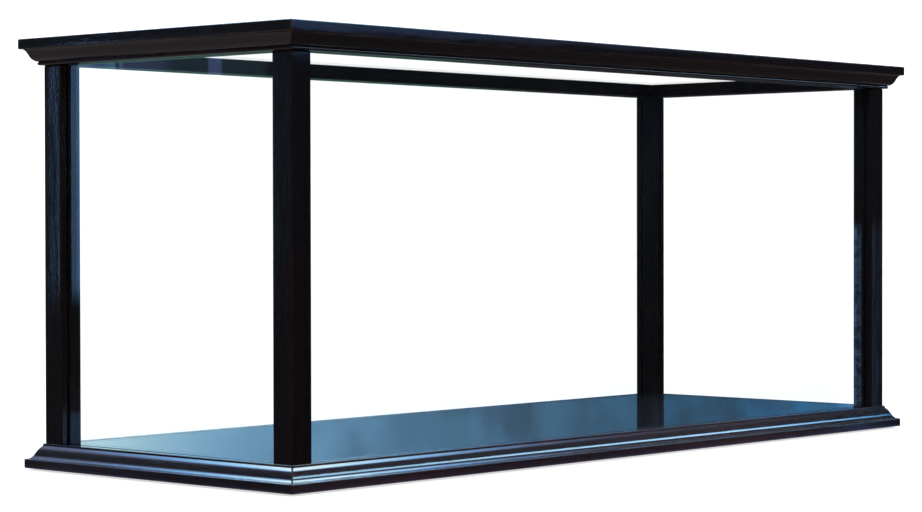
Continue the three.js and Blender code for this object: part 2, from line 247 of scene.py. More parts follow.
def eased_box(node, radius, segments):
    """The box of a CAD piece with rounded edges."""
    low, high = box_mm(node)
    work = bmesh.new()
    bmesh.ops.create_cube(work, size=1.0)
    for v in work.verts:
        v.co = Vector([(low[i] if v.co[i] < 0 else high[i]) * 0.001 for i in range(3)])
    bmesh.ops.bevel(work, geom=list(work.edges), offset=radius * 0.001, segments=segments,
                    profile=0.5, affect="EDGES", clamp_overlap=True)
    bmesh.ops.recalc_face_normals(work, faces=work.faces)
    mesh = bpy.data.meshes.new(node + "_fine")
    work.to_mesh(mesh)
    work.free()
    return link(node + "_fine", mesh)


def cut(piece, *cutters):
    for cutter in cutters:
        mod = piece.modifiers.new("cut", "BOOLEAN")
        mod.operation, mod.object, mod.solver = "DIFFERENCE", cutter, "EXACT"
    graph = bpy.context.evaluated_depsgraph_get()
    mesh = bpy.data.meshes.new_from_object(piece.evaluated_get(graph), depsgraph=graph)
    piece.modifiers.clear()
    old = piece.data
    piece.data = mesh
    mesh.name = piece.name
    bpy.data.meshes.remove(old)
    for cutter in cutters:
        bpy.data.objects.remove(cutter)


def shade(piece, angle):
    """Smooth across soft bends, crisp at real edges, and flats that stay optically flat."""
    mesh = piece.data
    mesh.polygons.foreach_set("use_smooth", [True] * len(mesh.polygons))
    mesh.set_sharp_from_angle(angle=math.radians(angle))
    mesh.update()
    mod = piece.modifiers.new("flats", "WEIGHTED_NORMAL")
    mod.mode, mod.weight, mod.keep_sharp = "FACE_AREA", 50, True


def finish(piece, body, slot, *materials, angle=32.0):
    piece.data.materials.clear()
    for material in materials:
        piece.data.materials.append(material)
    if angle:
        shade(piece, angle)
    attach(piece, body)
    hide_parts(piece.name.removesuffix("_fine"))


# ---------------------------------------------------------------- node helpers
class Nodes:
    """Builds the node tree of a material or world."""
    def __init__(self, owner):
        owner.use_nodes = True
        self.owner = owner
        self.tree = owner.node_tree
        self.tree.nodes.clear()

    def node(self, kind, inputs={}, **props):
        node = self.tree.nodes.new("ShaderNode" + kind)
        for key, value in props.items():
            setattr(node, key, value)
        for key, value in inputs.items():
            socket = node.inputs[key]
            if isinstance(value, bpy.types.Node):
                value = value.outputs[0]
            if isinstance(value, bpy.types.NodeSocket):
                self.tree.links.new(value, socket)
            elif socket.type == "RGBA":
                socket.default_value = (*value, 1)
            else:
                socket.default_value = value
        return node

    def output(self, shader, kind="OutputMaterial"):
        self.node(kind, {"Surface": shader})
        return self.owner

    def math(self, operation, *values):
        return self.node("Math", dict(enumerate(values)), operation=operation)

    def vector(self, operation, inputs):
        return self.node("VectorMath", inputs, operation=operation)

    def ramp(self, fac, stops):
        """Stops are (position, colour)."""
        node = self.node("ValToRGB", {"Fac": fac})
        elements = node.color_ramp.elements
        while len(elements) > 1:
            elements.remove(elements[-1])
        elements[0].position = stops[0][0]
        elements[0].color = (*stops[0][1], 1)
        for position, colour in stops[1:]:
            elements.new(position).color = (*colour, 1)
        return node.outputs["Color"]

    def grey(self, fac, stops):
        """Stops are (position, level)."""
        return self.ramp(fac, [(p, (v, v, v)) for p, v in stops])

    def mix(self, fac, a, b, blend="MIX"):
        # sockets 6, 7 and output 2 are the colour ones
        node = self.node("Mix", {0: fac, 6: a, 7: b}, data_type="RGBA", blend_type=blend)
        return node.outputs[2]

    def multiply(self, a, b):
        return self.mix(1.0, a, b, "MULTIPLY")

    def mix_shader(self, fac, a, b):
        return self.node("MixShader", {0: fac, 1: a, 2: b})

    def noise_at(self, vector, scale, detail, rough):
        return self.node("TexNoise", {"Vector": vector, "Scale": scale, "Detail": detail,
                                      "Roughness": rough})

    def noise(self, stretch, seed=(0, 0, 0), detail=2.0, rough=0.5, distortion=0.0):
        """Noise in object space, moved for each object; stretch is the frequency per metre."""
        if isinstance(stretch, float):
            stretch = (stretch,) * 3
        coords = self.node("TexCoord")
        info = self.node("ObjectInfo")
        shift = self.vector("SCALE", {0: (3.1, 1.7, 2.3), "Scale": info.outputs["Random"]})
        moved = self.vector("ADD", {0: coords.outputs["Object"], 1: shift})
        mapping = self.node("Mapping", {"Vector": moved, "Scale": stretch, "Location": seed})
        node = self.noise_at(mapping, scale=1.0, detail=detail, rough=rough)
        node.inputs["Distortion"].default_value = distortion
        return node

    def bump(self, height, strength, distance, under=None):
        inputs = {"Height": height, "Strength": strength, "Distance": distance}
        if under is not None:
            inputs["Normal"] = under
        return self.node("Bump", inputs)

    def map_range(self, value, low, high, start=0.0, end=1.0, kind="SMOOTHSTEP"):
        return self.node("MapRange", {"Value": value, "From Min": low, "From Max": high,
                                      "To Min": start, "To Max": end}, interpolation_type=kind)

    def window(self, value, span):
        """1 within span, which is (low, high, softness of both edges)."""
        low, high, soft = span
        return self.math("MULTIPLY", self.map_range(value, low - soft, low + soft),
                         self.map_range(value, high - soft, high + soft, start=1.0, end=0.0))

    def gradient(self, value, top, stops):
        """Colour along value; stops are (value, colour), with colours up to top."""
        low, high = stops[0][0], stops[-1][0]
        colour = self.ramp(self.map_range(value, low, high, kind="LINEAR"),
                           [((p - low) / (high - low), tuple(x / top for x in c))
                            for p, c in stops])
        return self.multiply(colour, (top, top, top))


def new_material(name):
    return Nodes(bpy.data.materials.new(name))


def along(axis, grain, cross):
    """Noise stretch for wood with its grain along an axis."""
    return tuple(grain if a == axis else cross for a in "xyz")


# ---------------------------------------------------------------- materials
def lacquered_wood(name, axis, dark, warm, edge, painted_shade_to_end=None):
    """Stained hardwood under gloss lacquer: figure, grain and pores, with a faint orange peel."""
    mat = new_material(name)
    big = mat.noise(along(axis, 1.6, 14.0), detail=4.0, rough=0.55, distortion=0.6)
    lines = mat.noise(along(axis, 5.0, 260.0), seed=(3.0, 7.0, 1.0),
                      detail=5.0, rough=0.62, distortion=0.9)
    fine = mat.noise(along(axis, 55.0, 1900.0), seed=(11.0, 2.0, 5.0),
                     detail=3.0, rough=0.6, distortion=0.25)
    between = tuple(0.55 * d + 0.45 * w for d, w in zip(dark, warm))
    colour = mat.ramp(mat.math("MULTIPLY", big, lines),
                      stops=[(0.12, dark), (0.30, between), (0.46, warm)])
    pores = mat.grey(fine, stops=[(0.30, 0.0), (0.42, 1.0)])
    pore_fill = mat.math("MULTIPLY", mat.math("SUBTRACT", 1.0, pores), 0.75)
    colour = mat.mix(pore_fill, colour, tuple(0.25 * d for d in dark))
    if painted_shade_to_end:  # painted shade: the colour darkens towards one end, for the weaker light that falls there
        place = mat.node("SeparateXYZ", {0: mat.node("NewGeometry").outputs["Position"]})
        fade = mat.map_range(place.outputs["xyz".index(axis)], painted_shade_to_end["start"], painted_shade_to_end["end"])
        colour = mat.mix(fade, colour, mat.multiply(colour, painted_shade_to_end["tint"]))
    # the stain is rubbed thin where edges are handled and sanded
    bevel = mat.node("Bevel", {"Radius": 0.0022}, samples=3)
    normal = mat.node("NewGeometry").outputs["Normal"]
    dot = mat.vector("DOT_PRODUCT", {0: bevel, 1: normal}).outputs["Value"]
    rubbed = mat.grey(mat.math("SUBTRACT", 1.0, dot), stops=[(0.02, 0.0), (0.25, 1.0)])
    patch = mat.grey(mat.noise(38.0, seed=(5.0, 5.0, 9.0), detail=4.0, rough=0.6),
                     stops=[(0.42, 0.12), (0.66, 1.0)])
    worn = mat.math("MULTIPLY", mat.math("MULTIPLY", rubbed, patch), 0.8)
    colour = mat.mix(worn, colour, edge)
    # faint waves left by spraying and rubbing down, and pores that telegraph through
    peel = mat.noise(420.0, seed=(1.0, 4.0, 2.0))
    wave = mat.noise(along(axis, 9.0, 60.0), seed=(2.0, 8.0, 6.0))
    waves = mat.bump(wave, strength=0.10, distance=0.0006)
    peeled = mat.bump(peel, strength=0.035, distance=0.0004, under=waves)
    smear = mat.noise(16.0, seed=(8.0, 1.0, 1.0), detail=5.0, rough=0.6)
    return mat.output(mat.node("BsdfPrincipled", {
        "Base Color": colour, "Roughness": 0.42, "Specular IOR Level": 0.08,
        "Normal": mat.bump(pores, strength=0.5, distance=0.0001),
        "Coat Weight": 1.0, "Coat IOR": 1.52,
        "Coat Roughness": mat.grey(smear, stops=[(0.35, 0.014), (0.7, 0.034)]),
        "Coat Normal": mat.bump(pores, strength=0.10, distance=0.00006, under=peeled)}))


def floor_lacquer():
    """Polished floor panel: nearly a mirror, with a soft cloudiness and long faint waves."""
    mat = new_material("floor_lacquer")
    big = mat.noise((2.2, 16.0, 2.0), detail=4.0, rough=0.55, distortion=0.5)
    lines = mat.noise((6.0, 300.0, 20.0), seed=(3.0, 7.0, 1.0),
                      detail=5.0, rough=0.6, distortion=0.6)
    colour = mat.ramp(mat.math("MULTIPLY", big, lines),
                      stops=[(0.12, (0.0016, 0.0017, 0.0022)), (0.45, (0.006, 0.0045, 0.005))])
    cloud = mat.noise(14.0, seed=(1.0, 2.0, 3.0), detail=5.0, rough=0.62, distortion=0.4)
    wave = mat.noise((5.0, 9.0, 5.0), seed=(7.0, 7.0, 7.0))
    peel = mat.noise(300.0, seed=(7.0, 1.0, 7.0))
    waves = mat.bump(wave, strength=0.10, distance=0.0010)
    return mat.output(mat.node("BsdfPrincipled", {
        "Base Color": colour, "Roughness": 0.35, "Specular IOR Level": 0.2,
        "Coat Weight": 1.0, "Coat IOR": 1.52,
        "Coat Roughness": mat.grey(cloud, stops=[(0.35, 0.012), (0.62, 0.035), (0.75, 0.075)]),
        "Coat Normal": mat.bump(peel, strength=0.03, distance=0.0002, under=waves)}))


def clear_glass(name, under=None):
    """Thin clear pane: each face lets light straight through and mirrors by angle.

    A trace of dust lies on it. Seen from below by the camera, the mirror share of a level pane is a
    painted reflection: an even glow in the colour given by under, for the bright surround past the
    rails."""
    dust = 0.0016
    facing_share, grazing_share = 0.043, 0.957  # mirror share of one face, the same either side
    mat = new_material(name)
    geometry = mat.node("NewGeometry")
    incoming = geometry.outputs["Incoming"]
    dot = mat.vector("DOT_PRODUCT", {0: geometry.outputs["Normal"], 1: incoming}).outputs["Value"]
    graze = mat.math("POWER", mat.math("SUBTRACT", 1.0, mat.math("ABSOLUTE", dot)), 5.0)
    share = mat.math("MULTIPLY_ADD", graze, grazing_share, facing_share)
    smear = mat.noise(9.0, seed=(4.0, 1.0, 1.0), detail=5.0, rough=0.65, distortion=0.5)
    mirror = gloss = mat.node("BsdfGlossy", {
        "Roughness": 0.0,
        "Normal": mat.bump(mat.noise(3.0), strength=0.02, distance=0.001),
        "Color": mat.ramp(smear, stops=[(0.3, (0.90, 0.95, 0.94)), (0.7, (1.0, 1.0, 1.0))])})
    # painted reflection: a camera ray from below sees an even glow in the colour given by under, in
    # place of the mirror
    if under is not None:
        upward = mat.node("SeparateXYZ", {0: incoming}).outputs[2]
        camera_ray = mat.node("LightPath").outputs["Is Camera Ray"]
        from_below = mat.math("MULTIPLY", mat.math("LESS_THAN", upward, 0.0), camera_ray)
        mirror = mat.mix_shader(from_below, gloss, mat.node("Emission", {"Color": under}))
    clear = mat.node("BsdfTransparent", {"Color": (0.985, 0.997, 0.992)})
    body = mat.mix_shader(share, clear, mirror)
    speck = mat.grey(mat.noise(900.0, seed=(4.0, 9.0, 1.0), detail=1.0),
                     stops=[(0.70, 0.0), (0.78, 1.0)])
    smeared = mat.grey(smear, stops=[(0.45, 0.0), (0.75, 1.0)])
    amount = mat.math("ADD", mat.math("MULTIPLY", smeared, dust),
                      mat.math("MULTIPLY", speck, dust))
    film = mat.node("BsdfDiffuse", {"Color": (0.75, 0.78, 0.78)})
    return mat.output(mat.mix_shader(amount, body, film))


def glass_edge():
    """Ground and polished rim of the panes: deeper green, a little rough."""
    mat = new_material("glass_edge")
    tone = mat.noise(60.0, detail=4.0, rough=0.6)
    grind = mat.noise((1500.0, 1500.0, 60.0), seed=(2.0, 2.0, 2.0))
    return mat.output(mat.node("BsdfPrincipled", {
        "Base Color": mat.ramp(tone, stops=[(0.35, (0.10, 0.30, 0.24)),
                                            (0.65, (0.30, 0.56, 0.47))]),
        "Roughness": mat.grey(tone, stops=[(0.3, 0.10), (0.7, 0.28)]),
        "IOR": 1.52, "Transmission Weight": 0.55,
        "Normal": mat.bump(grind, strength=0.08, distance=0.0001)}))


def plain_wood(name, light, deep):
    """Unfinished pale wood with its grain along X: figure, rays and open pores."""
    mat = new_material(name)
    big = mat.noise(along("x", 2.5, 24.0), detail=4.0, rough=0.55, distortion=0.8)
    lines = mat.noise(along("x", 9.0, 420.0), seed=(3.0, 7.0, 1.0),
                      detail=5.0, rough=0.65, distortion=0.8)
    colour = mat.ramp(mat.math("MULTIPLY", big, lines), stops=[(0.12, deep), (0.42, light)])
    fleck = mat.grey(mat.noise(along("x", 160.0, 1500.0), seed=(1.0, 2.0, 9.0)),
                     stops=[(0.34, 0.0), (0.42, 1.0)])
    fleck_fill = mat.math("MULTIPLY", mat.math("SUBTRACT", 1.0, fleck), 0.5)
    flecks = mat.bump(fleck, strength=0.35, distance=0.0001)
    return mat.output(mat.node("BsdfPrincipled", {
        "Base Color": mat.mix(fleck_fill, colour, tuple(0.45 * d for d in deep)),
        "Roughness": mat.grey(big, stops=[(0.3, 0.49), (0.7, 0.69)]),
        "Specular IOR Level": 0.35,
        "Normal": mat.bump(lines, strength=0.25, distance=0.0004, under=flecks)}))


def zinc_steel():
    """Bright zinc plate with turning marks and a few dull patches."""
    mat = new_material("zinc_steel")
    patch = mat.noise(260.0, detail=4.0, rough=0.6)
    marks = mat.noise((90.0, 90.0, 5200.0), seed=(1.0, 5.0, 2.0))
    return mat.output(mat.node("BsdfPrincipled", {
        "Base Color": mat.ramp(patch, stops=[(0.35, (0.50, 0.50, 0.48)),
                                             (0.65, (0.70, 0.70, 0.69))]),
        "Metallic": 1.0,
        "Roughness": mat.grey(patch, stops=[(0.3, 0.20), (0.7, 0.40)]),
        "Normal": mat.bump(marks, strength=0.12, distance=0.00004)}))


def black_felt():
    """Dense black wool felt: matted fibres and a dusty sheen."""
    mat = new_material("felt")
    fibres = mat.noise(900.0, detail=5.0, rough=0.7, distortion=1.2)
    lump = mat.noise(180.0, seed=(4.0, 4.0, 4.0), detail=3.0, rough=0.6)
    lumps = mat.bump(lump, strength=0.6, distance=0.001)
    return mat.output(mat.node("BsdfPrincipled", {
        "Base Color": mat.ramp(fibres, stops=[(0.3, (0.006, 0.006, 0.007)),
                                              (0.7, (0.035, 0.034, 0.036))]),
        "Roughness": 0.95, "Sheen Weight": 0.6, "Sheen Roughness": 0.5,
        "Normal": mat.bump(fibres, strength=0.9, distance=0.0005, under=lumps)}))


WOOD = {axis: lacquered_wood("lacquered_wood_" + axis, axis, dark=(0.0012, 0.0008, 0.0011),
                             warm=(0.0065, 0.0026, 0.0026), edge=(0.045, 0.012, 0.007))
        for axis in "xyz"}
# painted light and shade: the base's front and back strips (grain along x) are coloured lighter and
# warmer than its side strips, as lit and shaded copies of one wood
BASE_WOOD = {
    "x": lacquered_wood("lacquered_wood_base_x", "x", dark=(0.0105, 0.0056, 0.0086),
                        warm=(0.040, 0.0180, 0.0200), edge=(0.075, 0.026, 0.016),
                        # painted shade: the front and back strips darken towards their +X end
                        painted_shade_to_end=dict(start=0.20, end=0.42, tint=(0.24, 0.36, 0.50))),
    "y": lacquered_wood("lacquered_wood_base_y", "y", dark=(0.0030, 0.0022, 0.0036),
                        warm=(0.0130, 0.0078, 0.0115), edge=(0.045, 0.016, 0.012))}
FLOOR_LACQUER = floor_lacquer()
GLASS = clear_glass("clear_glass")
# painted reflection: seen from below by the camera, the top pane glows at 1.25 in place of mirroring
GLASS_TOP = clear_glass("clear_glass_top", under=(1.25, 1.25, 1.25))
GLASS_EDGE = glass_edge()
PLYWOOD = plain_wood("plywood", light=(0.46, 0.32, 0.19), deep=(0.30, 0.19, 0.10))
BEECH = plain_wood("beech", light=(0.58, 0.40, 0.24), deep=(0.42, 0.26, 0.14))
ZINC = zinc_steel()
FELT = black_felt()


def grain_axis(side):
    return "x" if side in ("front", "back") else "y"


# ---------------------------------------------------------------- base mouldings
# (height, lean from upright in degrees)
BASE_OGEE_STOPS = [
    (19.1, 43), (17.9, 44), (17.1, 42), (16.4, 35), (15.7, 32), (15.0, 30.5), (14.0, 29.8),
    (13.2, 28.7), (12.7, 27.3), (12.3, 26.2), (11.7, 25.9), (11.35, 26.4), (11.1, 29.5),
    (10.8, 34), (10.3, 38), (9.9, 41.5), (9.55, 44.3), (9.1, 46.5), (8.8, 51), (8.5, 59),
    (8.25, 69), (8.05, 79), (7.97, 84)]
BASE_OGEE = leaning(BASE_OGEE_STOPS, offset=2.55, step=0.1)
BASE_FACE = 2.5                              # offset of the upright face above the ogee
BASE_INNER = -(HALF_X - CORE_EDGE - 0.15)    # inner face, just clear of the core board
# closed outline: (offset outwards, height, corner radius)
BASE_SECTION = eased(
    [(-RAIL, BASE_HEIGHT, 0.15), (BASE_FACE, BASE_HEIGHT, 0.5),
     (BASE_FACE, BASE_OGEE[0][1] + 0.02, 0.12)]
    + BASE_OGEE[1:-1]
    + [(FOOT, 7.9, 0.85), (FOOT, 0.0, 0.9), (BASE_INNER, 0.0, 0.3),
       (BASE_INNER, BASE_HEIGHT - FLOOR_THICKNESS), (-RAIL, BASE_HEIGHT - FLOOR_THICKNESS, 0.2)])

for side in SIDES:
    piece = strip("base_moulding_" + side + "_fine", BASE_SECTION, side, Z_BASE,
                  corner_radius=1.1, outer_from=1.0)
    cut(piece, groove_cutter(side, z_bottom=Z_LEDGE - 3.0, z_mouth=Z_LEDGE))
    finish(piece, "case", "dark_lacquered_wood", BASE_WOOD[grain_axis(side)])

# ---------------------------------------------------------------- floor panel
finish(eased_box("display_floor_panel", radius=0.15, segments=3),
       "case", "floor_lacquer", FLOOR_LACQUER, angle=40)

# ---------------------------------------------------------------- posts
POST_CORNER = 1.5
# (height above the ledge, inset of the outline) at the foot of a post
POST_FOOT = [(0.0, 0.35), (0.12, 0.15), (0.4, 0.0)]
# (radius, height) of the holes in the top and the foot of a post
PIN_HOLE = [(3.2, -11.0), (3.2, -0.25), (3.6, 0.15), (3.6, 2.0)]
PILOT_HOLE = [(2.4, -2.0), (2.4, 30.0)]


def post_outline(sx, sy, inset):
    """Plan of a post, anticlockwise from its +X face, with grooves in the two inner faces."""
    half, w = POST / 2, GROOVE / 2
    face, centre, radius = half - inset, half - POST_CORNER, max(POST_CORNER - inset, 0.1)
    bottom = half - (GROOVE_REACH + PROUD)
    groove = [(face, -w - GROOVE_EASE), (face - GROOVE_EASE, -w), (bottom, -w),
              (bottom, w), (face - GROOVE_EASE, w), (face, w + GROOVE_EASE)]
    shift = RAIL / 2 - PANE_LINE    # the grooves lie towards the outside of the case
    points = []
    # angle and direction of each face, and the corner that follows it
    for angle, (fx, fy), (cx, cy) in ((0, (1, 0), (1, 1)), (90, (0, 1), (-1, 1)),
                                      (180, (-1, 0), (-1, -1)), (270, (0, -1), (1, -1))):
        if fx * sx + fy * sy < 0:
            c, s = math.cos(math.radians(angle)), math.sin(math.radians(angle))
            dx, dy = (0.0, sy * shift) if fx else (sx * shift, 0.0)
            points += [(x * c - y * s + dx, x * s + y * c + dy) for x, y in groove]
        for k in range(9):
            a = math.radians(angle + 90 * k / 8)
            points.append((cx * centre + radius * math.cos(a), cy * centre + radius * math.sin(a)))
    return points


def post(name, sx, sy):
    height = Z_LID - Z_LEDGE
    levels = POST_FOOT + [(height * k / 12, 0.0) for k in range(1, 12)]
    for degrees in (0, 12, 24, 36, 48, 60, 72, 82, 90):    # the rounded top edge
        a = math.radians(degrees)
        levels.append((height - 1.7 + 1.7 * math.sin(a), 1.38 * (1 - math.cos(a))))
    x0, y0 = sx * (HALF_X - RAIL / 2), sy * (HALF_Y - RAIL / 2)
    rings = [[(x0 + x, y0 + y, Z_LEDGE + z) for x, y in post_outline(sx, sy, inset)]
             for z, inset in levels]
    piece = loft(name, rings, cap_step=-1)
    cut(piece, turned("pin_hole", PIN_HOLE, x0, y0, Z_LID, 40),
        turned("pilot_hole", PILOT_HOLE, x0, y0, Z_LEDGE, 24))
    return piece


for corner, (sx, sy) in CORNERS.items():
    finish(post("post_" + corner + "_fine", sx, sy), "case", "dark_lacquered_wood", WOOD["z"],
           angle=30)


# ---------------------------------------------------------------- panes
def pane(node, body, glass):
    piece = eased_box(node, radius=0.45, segments=2)
    low, high = box_mm(node)
    thin = int(np.argmin(high - low))
    finish(piece, body, "clear_glass", glass, GLASS_EDGE, angle=0)
    for face in piece.data.polygons:
        face.material_index = 0 if abs(face.normal[thin]) > 0.9 else 1


for side in SIDES:
    pane("glass_" + side, "case", GLASS)
pane("lid_glass_top", "lid", GLASS_TOP)

# ---------------------------------------------------------------- lid
# (offset outwards, height) that the ogee under the crown passes through
LID_OGEE = catmull([(4.95, 3.15), (6.4, 3.7), (7.7, 4.65), (8.8, 5.9), (9.55, 7.2),
                    (10.25, 8.75), (10.9, 10.2), (11.6, 11.5), (12.4, 12.6), (13.3, 13.4)], 40)
ASTRAGAL = 1.35                   # radius of the rounded lower edge, a little taller than wide
LID_EDGE = 16.5                   # offset of the lid's outer face
SEAT_INNER = -RAIL + 8.25         # offset of the outer wall of the seat for the top pane
BEAD_OUTER = SEAT_INNER - 0.25
BEAD_BOTTOM, BEAD_TOP = LID_SEAT + 3.02, LID_HEIGHT - 0.25
astragal = [(4.85 - ASTRAGAL + ASTRAGAL * math.cos(math.radians(a)),
             1.4 + 1.4 * math.sin(math.radians(a))) for a in range(-80, 76, 13)]
# closed outlines: (offset outwards, height, corner radius)
CROWN_SECTION = eased(
    [(-RAIL, 0.0, 0.3)] + astragal + [(4.05, 2.95)] + LID_OGEE[1:]
    + [(13.3, 13.75, 0.12), (LID_EDGE, 13.75, 0.7), (LID_EDGE, LID_HEIGHT, 0.9),
       (SEAT_INNER, LID_HEIGHT, 0.25), (SEAT_INNER, LID_SEAT), (-RAIL, LID_SEAT, 0.25)])
BEAD_SECTION = eased([(BEAD_OUTER, BEAD_BOTTOM), (BEAD_OUTER, BEAD_TOP, 0.3),
                      (-RAIL, BEAD_TOP, 1.6), (-RAIL, BEAD_BOTTOM, 0.2)])
# (radius, height) of the pin sockets in the underside
PIN_SOCKET = [(3.65, -2.0), (3.65, -0.1), (3.25, 0.3), (3.25, 10.0)]

for side, (turn, half, across) in SIDES.items():
    wood = WOOD[grain_axis(side)]
    piece = strip("lid_crown_" + side + "_fine", CROWN_SECTION, side, Z_LID,
                  corner_radius=0.9, outer_from=3.0)
    cutters = [groove_cutter(side, z_bottom=Z_LID + 5.0, z_mouth=Z_LID)]
    for end in (-1, 1):
        x, y, _ = rot_z([(end * (half - RAIL / 2), -(across - RAIL / 2), 0.0)], turn)[0]
        cutters.append(turned("cutter", PIN_SOCKET, x, y, Z_LID, 40))
    cut(piece, *cutters)
    finish(piece, "lid", "dark_lacquered_wood", wood)
    # no part of the bead is an outer corner, so outer_from lies beyond its section
    bead = strip("lid_bead_" + side + "_fine", BEAD_SECTION, side, Z_LID,
                 corner_radius=0.5, outer_from=99.0)
    finish(bead, "lid", "dark_lacquered_wood", wood)


# ---------------------------------------------------------------- fittings
def centre_and_size(node):
    """Centre x and y, lowest z, radius and height of an upright round CAD piece."""
    low, high = box_mm(node)
    return ((low[0] + high[0]) / 2, (low[1] + high[1]) / 2, low[2],
            (high[0] - low[0]) / 2, high[2] - low[2])


def cross_recess(x, y, z):
    """Cutter for the cross recess, tapering upwards from a screw's head."""
    arm, w = 2.3, 0.55    # length and half width of an arm
    inner = w + 0.15
    outline, quarter = [], [(-arm, -w), (-inner, -inner), (-w, -arm)]
    for _ in range(4):
        outline += quarter
        quarter = [(-v, u) for u, v in quarter]
    return loft("cutter", [[(x + u * scale, y + v * scale, z + rise) for u, v in outline]
                           for scale, rise in ((1.0, -0.5), (0.5, 1.9))])


def screw(node):
    """Countersunk wood screw, head down, with a cross recess and a rolled thread."""
    x, y, z, head, length = centre_and_size(node)
    root, crest_radius, pitch, segments = 1.55, 2.15, 1.8, 32
    thread_start, thread_end = 18.8, length - 1.0
    thread = thread_end - thread_start
    shank = [(head - 0.15, 0.0), (head, 0.12), (head, 0.45), (2.1, 2.9), (2.05, 3.3),
             (2.05, 18.0), (root, thread_start)]    # (radius, height)
    rings = [circle(x, y, z + h, [r] * segments) for r, h in shank]
    steps = int(thread / pitch * 16)
    for k in range(1, steps + 1):
        h = thread_start + thread * k / steps
        fade = min(1.0, (h - thread_start) / 2.0, (thread_end - h) / 4.0 + 0.15)
        core = root * min(1.0, (length - 0.9 - h) / 5.0 + 0.22)
        radii = []
        for s in range(segments):
            phase = ((h - thread_start) / pitch - s / segments) % 1.0
            crest = max(0.0, 1 - abs(phase - 0.5) / 0.24)
            radii.append(core + (crest_radius - root) * crest * fade)
        rings.append(circle(x, y, z + h, radii))
    rings.append(circle(x, y, z + length, [0.12] * segments))
    piece = loft(node + "_fine", rings, cap_step=-1)
    cut(piece, cross_recess(x, y, z))
    return piece


def locating_pin(node):
    """Round pin with a chamfered foot, a shallow ring groove and a rounded nose."""
    x, y, z, radius, length = centre_and_size(node)
    outline = [(radius - 0.5, 0.0), (radius, 0.5), (radius, 10.6), (radius - 0.18, 10.75),
               (radius - 0.18, 11.15), (radius, 11.3)]
    for degrees in range(0, 90, 12):
        a = math.radians(degrees)
        outline.append((radius - 1.2 + 1.2 * math.cos(a), length - 1.5 + 1.5 * math.sin(a)))
    return turned(node + "_fine", outline + [(0.4, length)], x, y, z, 48)


def felt_pad(node, seed):
    """Felt disc with a ragged, rounded rim."""
    x, y, z, radius, thickness = centre_and_size(node)
    ragged = np.random.default_rng(seed).normal(0, 0.06, 96)
    # (share of the radius, share of the thickness)
    rows = [(0.985, 1.0), (0.998, 0.85), (1.0, 0.5), (0.99, 0.2), (0.955, 0.04), (0.90, 0.0),
            (0.6, 0.0), (0.3, 0.0)]
    rings = [circle(x, y, z + thickness * rise,
                    radius * share - 0.12 + ragged * (1 if share > 0.9 else 0))
             for share, rise in rows]
    return loft(node + "_fine", rings, cap_step=-1)


for corner, (sx, sy) in CORNERS.items():
    finish(screw("post_screw_" + corner), "case", "zinc_steel", ZINC, angle=35)
    finish(locating_pin("locating_pin_" + corner), "case", "zinc_steel", ZINC, angle=30)
    pad = felt_pad("felt_pad_" + corner, seed=(sx + 2) * 7 + (sy + 2) * 3 + 5)
    finish(pad, "case", "felt", FELT, angle=40)


# ---------------------------------------------------------------- CAD pieces that keep their shape
def keep(node, material, width):
    """Gives a CAD piece its wood and eased edges; width is in metres."""
    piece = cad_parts[node]
    piece.data.materials.clear()
    piece.data.materials.append(material)
    bevel = piece.modifiers.new("ease", "BEVEL")
    bevel.width, bevel.segments = width, 2
    bevel.limit_method, bevel.angle_limit = "ANGLE", math.radians(60)


keep("base_core_board", PLYWOOD, width=0.0004)
for corner in CORNERS:
    for part in ("base", "lid"):
        keep(part + "_mitre_key_" + corner, BEECH, width=0.0003)


# ---------------------------------------------------------------- stage (metres)
def plane(name, low, high, z, material):
    mesh = bpy.data.meshes.new(name)
    mesh.from_pydata([(low[0], low[1], z), (high[0], low[1], z), (high[0], high[1], z),
                      (low[0], high[1], z)], [], [(0, 1, 2, 3)])
    piece = link(name, mesh)
    mesh.materials.append(material)
    return piece


def stage_floor():
    """Pale floor, clear from underneath so that the underside of the case can be seen."""
    mat = new_material("stage_floor")
    pale = mat.node("AddShader", {
        0: mat.node("BsdfDiffuse", {"Color": (0.80, 0.80, 0.81)}),
        1: mat.node("Emission", {"Color": (1, 1, 1), "Strength": 0.62})})
    below = mat.node("NewGeometry").outputs["Backfacing"]
    mat.output(mat.mix_shader(below, pale, mat.node("BsdfTransparent")))
    plane("stage_floor", (-9, -9), (9, 9), -0.0001, mat.owner).visible_glossy = False


def foot_light():
    """Blue light on the floor right round the foot; only the lacquer sees it, from low down."""
    mat = new_material("stage_foot_light")
    uneven = mat.grey(mat.noise(30.0, detail=3.0), stops=[(0.35, 0.6), (0.65, 1.2)])
    incoming = mat.node("NewGeometry").outputs["Incoming"]
    upward = mat.node("SeparateXYZ", {0: incoming}).outputs["Z"]
    low_down = mat.map_range(upward, low=0.20, high=0.32, start=1.0, end=0.0)
    strength = mat.math("MULTIPLY", mat.math("MULTIPLY", uneven, 4.6), low_down)
    mat.output(mat.node("Emission", {"Color": (0.34, 0.42, 1.0), "Strength": strength}))
    mat.owner.cycles.emission_sampling = "NONE"
    # four strips of floor, from 1 mm under the foot to 11 mm outside it
    x, y = HALF_X + FOOT, HALF_Y + FOOT
    strips = (((-x - 11, -y - 11), (x + 11, -y + 1)), ((-x - 11, y - 1), (x + 11, y + 11)),
              ((-x - 11, -y + 1), (-x + 1, y - 1)), ((x - 1, -y + 1), (x + 11, y - 1)))
    for k, (low, high) in enumerate(strips):
        light = plane("stage_foot_light_%d" % k, [v * 0.001 for v in low],
                      [v * 0.001 for v in high], 0.0001, mat.owner)
        light.visible_camera = light.visible_diffuse = light.visible_shadow = False


